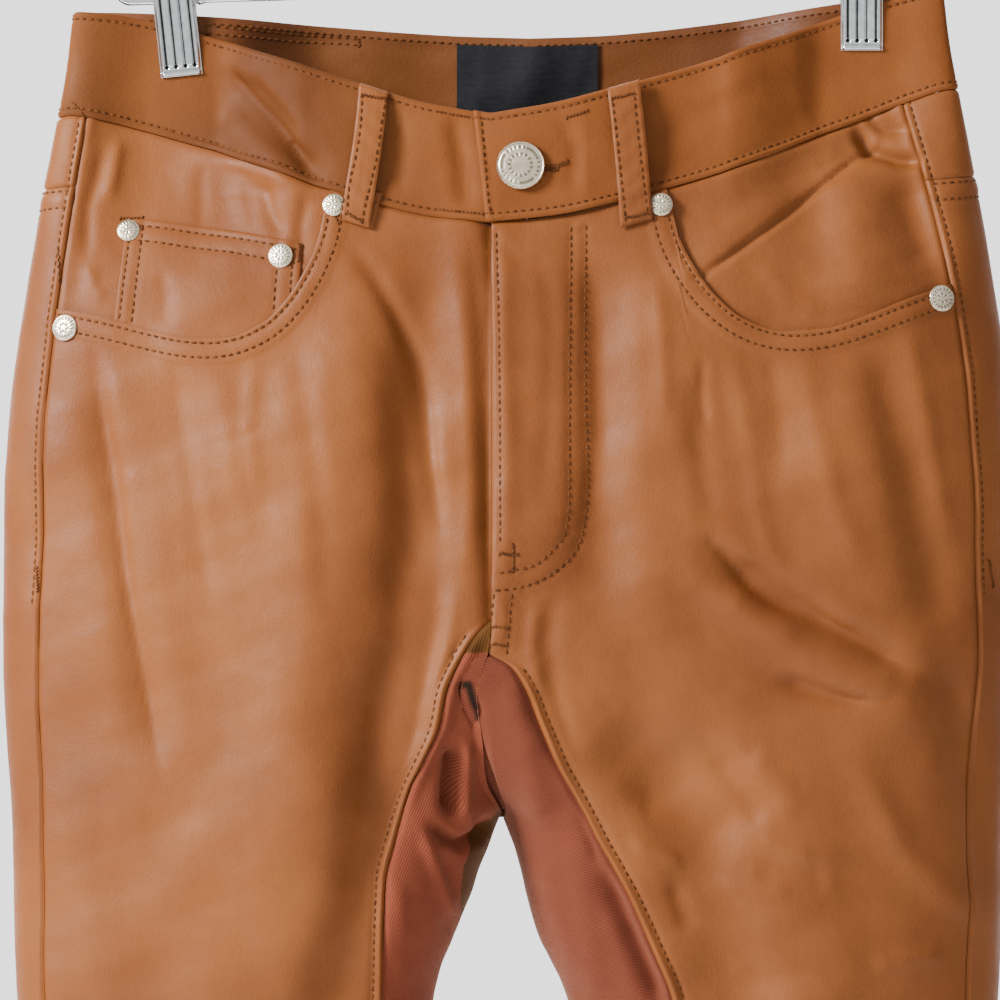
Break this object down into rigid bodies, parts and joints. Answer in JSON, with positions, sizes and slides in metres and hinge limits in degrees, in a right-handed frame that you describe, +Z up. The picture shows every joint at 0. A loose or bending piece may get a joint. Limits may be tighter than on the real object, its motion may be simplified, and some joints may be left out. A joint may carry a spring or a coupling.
{
  "type": "flared jeans on a clip hanger",
  "caption": "Faux-leather jeans with flared legs, scooped front pockets, a lapped fly and twill inner-leg panels, hung by the waistband from a chrome clip hanger.",
  "frame": {"origin": "the inner face of the hook's bend, where it rests on a rail", "axes": "+Z up, the front of the jeans faces -Y, the wearer's left is +X"},
  "size_m": [0.466, 0.1117, 1.1609],
  "materials": {
    "leather": "soft grained camel faux leather, low sheen",
    "twill": "rust stretch twill, matt, diagonal rib",
    "label": "bare black woven label",
    "stud": "pale gold plating, satin",
    "chrome": "polished chrome plating"
  },
  "bodies": {
    "root": {"waistband_right": "leather", "waistband_left": "leather", "front_right": "leather", "front_left": "leather", "pocket_facing_right": "leather", "pocket_facing_left": "leather", "coin_pocket": "leather", "yoke_right": "leather", "yoke_left": "leather", "back_right": "leather", "back_left": "leather", "back_pocket_right": "leather", "back_pocket_left": "leather", "belt_loop_front_right": "leather", "belt_loop_front_left": "leather", "belt_loop_back_right": "leather", "belt_loop_back_left": "leather", "belt_loop_centre_back": "leather", "inner_panel_right": "twill", "inner_panel_left": "twill", "label": "label", "button": "stud", "rivet_inner_right": "stud", "rivet_coin_outer": "stud", "rivet_coin_inner": "stud", "rivet_outer_right": "stud", "rivet_inner_left": "stud", "rivet_outer_left": "stud", "hanger_bar": "chrome", "hanger_hook": "chrome", "clip_right_front_jaw": "chrome", "clip_right_back_jaw": "chrome", "clip_right_sleeve": "chrome", "clip_left_front_jaw": "chrome", "clip_left_back_jaw": "chrome", "clip_left_sleeve": "chrome"}
  },
  "joints": []
}
